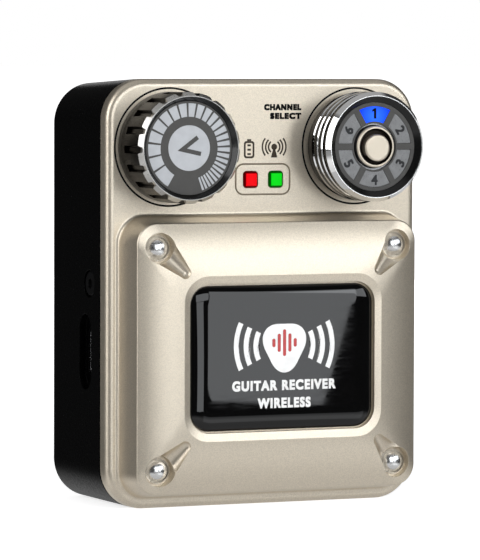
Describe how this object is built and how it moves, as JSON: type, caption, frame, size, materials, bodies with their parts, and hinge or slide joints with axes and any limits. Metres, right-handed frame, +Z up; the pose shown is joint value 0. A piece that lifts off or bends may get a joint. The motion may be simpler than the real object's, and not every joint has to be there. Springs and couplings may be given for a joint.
{
  "type": "wireless belt pack",
  "caption": "Palm-sized belt pack for a wireless guitar system: metal front with a badge window, volume dial, channel dial with push button, status lights and a sprung belt clip.",
  "frame": {"origin": "centre of the flat base, midway between the panel and the rear wall", "axes": "+Z up, the panel with the dials faces -Y, +X is to the right seen from the front"},
  "size_m": [0.064, 0.0455, 0.08],
  "materials": {
    "champagne_paint": "fine metallic champagne paint",
    "housing_plastic": "satin black moulding",
    "badge_black": "gloss black dome",
    "polished_chrome": "polished",
    "stud_metal": "satin",
    "knob_chrome": "polished, slightly smoked",
    "dial_print": "dark grey print ground",
    "black_trim": "satin black",
    "window_grey": "smoked translucent lens",
    "window_blue": "lit blue lens",
    "light_guide": "milky light guide",
    "lens_red": "lit red lens",
    "lens_green": "lit green lens",
    "steel": "turned and plated",
    "black_steel": "blackened",
    "contact_brass": "plated contacts",
    "board": "green solder mask",
    "black_part": "moulded component",
    "led_white": "LED body",
    "battery_wrap": "blue shrink wrap",
    "foam": "closed-cell foam",
    "wire_red": "silicone insulation"
  },
  "bodies": {
    "case": {"front_shell": "champagne_paint", "rear_housing": "housing_plastic", "badge_plate": "badge_black", "badge_dome": "badge_black", "dome_studs": "stud_metal", "volume_trim_ring": "champagne_paint", "channel_trim_ring": "champagne_paint", "volume_pot": "black_part", "pot_washer": "steel", "pot_nut": "steel", "channel_drum": "polished_chrome", "drum_retainer": "steel", "channel_bezel": "black_trim", "channel_mask": "dial_print", "channel_window_1": "window_blue", "channel_window_2": "window_grey", "channel_window_3": "window_grey", "channel_window_4": "window_grey", "channel_window_5": "window_grey", "channel_window_6": "window_grey", "channel_light_guide": "light_guide", "channel_led_board": "board", "channel_leds": "led_white", "scan_switch": "black_part", "dial_pins": "contact_brass", "button_collar": "champagne_paint", "red_lens": "lens_red", "green_lens": "lens_green", "status_leds": "led_white", "control_board": "board", "main_board": "board", "board_connector": "black_part", "radio_shield": "steel", "antenna_board": "board", "antenna_plug": "contact_brass", "antenna_lead": "black_part", "battery_pack": "battery_wrap", "battery_foam": "foam", "battery_connector": "led_white", "battery_leads": "wire_red", "charge_socket": "steel", "charge_socket_tongue": "black_part", "output_jack": "black_part", "slide_switch": "black_part", "side_screws": "black_steel", "case_screws": "black_steel", "bracket_screws": "black_steel", "control_board_screws": "steel", "main_board_screws": "steel", "clip_bracket": "black_steel", "clip_pin": "steel", "clip_spring": "steel"},
    "volume": {"volume_knob": "knob_chrome", "volume_dial_face": "dial_print", "volume_bezel": "black_trim", "volume_shaft": "steel"},
    "scan_button": {"scan_button": "champagne_paint", "switch_plunger": "black_part"},
    "power_slider": {"power_slider": "housing_plastic"},
    "clip": {"clip_arm": "black_steel"}
  },
  "joints": [
    {"name": "volume_turn", "type": "hinge", "parent": "case", "child": "volume", "pos_m": [-0.01945, -0.0136, 0.06735], "axis": [0, 1, 0], "range_deg": [-45, 255]},
    {"name": "scan_press", "type": "slide", "parent": "case", "child": "scan_button", "axis": [0, 1, 0], "range_m": [0, 0.0005], "stiffness_N_per_m": 1500, "springref_m": -0.0004},
    {"name": "power_slide", "type": "slide", "parent": "case", "child": "power_slider", "axis": [0, 0, 1], "range_m": [0, 0.0025]},
    {"name": "clip_open", "type": "hinge", "parent": "case", "child": "clip", "pos_m": [0, 0.0172, 0.066], "axis": [1, 0, 0], "range_deg": [0, 18], "stiffness_Nm_per_rad": 0.6, "springref_deg": -14.32, "deforming": ["clip_spring"]}
  ]
}
